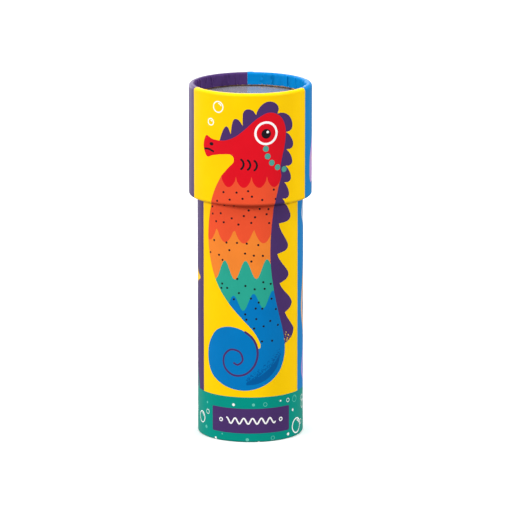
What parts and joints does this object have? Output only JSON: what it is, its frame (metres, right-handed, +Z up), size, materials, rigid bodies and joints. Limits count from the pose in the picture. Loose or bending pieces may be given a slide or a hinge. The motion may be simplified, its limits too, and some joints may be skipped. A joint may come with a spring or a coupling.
{
  "type": "kaleidoscope",
  "caption": "Round paperboard toy kaleidoscope with a mirrored viewing tube, a peep hole in its base and a wider turning cap that holds loose coloured pieces.",
  "frame": {"origin": "centre of the bottom rim, in the plane the toy stands on", "axes": "+Z up along the tube's axis, from the eyepiece to the frosted disc; -Y is the front, the middle of the yellow panel; +X is to the right of a viewer facing the front"},
  "size_m": [0.0635, 0.0634, 0.184],
  "materials": {
    "cap_print": "satin, laminated print: yellow front panel, purple left panel, blue right panel",
    "tube_print": "satin, laminated print: yellow, purple and blue panels over a green foot band",
    "tube_board": "matte, spiral-wound kraft paperboard",
    "ring_board": "matte, cut greyboard rings",
    "bezel_board": "matte, brown kraft board with a fibrous edge",
    "slip_paper": "satin, waxed paper",
    "label_print": "satin, laminated print, green",
    "eyepiece_board": "matte greyboard",
    "mirror_film": "polished silvered plastic strip",
    "clear_film": "gloss, clear sheet",
    "frosted_plastic": "satin, frosted translucent sheet",
    "tape": "gloss adhesive tape",
    "foam": "matte closed-cell foam",
    "bead_red": "gloss, opaque bead",
    "bead_blue": "gloss, translucent tube bead",
    "star_yellow": "gloss star chip",
    "ring_green": "gloss, translucent ring chip",
    "gem_purple": "gloss, translucent gem chip",
    "flake_orange": "gloss, translucent flake"
  },
  "bodies": {
    "viewing_tube": {"main_tube": "tube_board", "tube_wrap": "tube_print", "tube_collar": "ring_board", "slip_washer": "slip_paper", "eyepiece_disc": "eyepiece_board", "eyepiece_label": "label_print", "eyepiece_window": "clear_film", "mirror_front": "mirror_film", "mirror_left": "mirror_film", "mirror_right": "mirror_film", "prism_tape_lower": "tape", "prism_tape_upper": "tape", "prism_foam_lower": "foam", "prism_foam_upper": "foam", "prism_end_ring": "ring_board", "objective_window": "clear_film", "window_keeper_ring": "ring_board"},
    "cap": {"cap_tube": "tube_board", "cap_wrap": "cap_print", "cap_bearing_ring": "ring_board", "chamber_seat_ring": "ring_board", "chamber_floor_disc": "clear_film", "chamber_spacer_ring": "ring_board", "frosted_disc": "frosted_plastic", "disc_bezel_ring": "bezel_board"},
    "outer_loose_pieces": {"round_beads": "bead_red", "tube_beads": "bead_blue"},
    "middle_loose_pieces": {"star_chips": "star_yellow", "ring_chips": "ring_green"},
    "inner_loose_pieces": {"gem_chips": "gem_purple", "flake_chips": "flake_orange"}
  },
  "joints": [
    {"name": "cap_turn", "type": "hinge", "parent": "viewing_tube", "child": "cap", "pos_m": [0, 0, 0.155], "axis": [0, 0, 1], "continuous": true},
    {"name": "outer_pieces_tumble", "type": "hinge", "parent": "cap", "child": "outer_loose_pieces", "pos_m": [0, 0, 0.17], "axis": [0, 0, 1], "continuous": true},
    {"name": "middle_pieces_tumble", "type": "hinge", "parent": "cap", "child": "middle_loose_pieces", "pos_m": [0, 0, 0.17], "axis": [0, 0, 1], "continuous": true},
    {"name": "inner_pieces_tumble", "type": "hinge", "parent": "cap", "child": "inner_loose_pieces", "pos_m": [0, 0, 0.17], "axis": [0, 0, 1], "continuous": true}
  ]
}
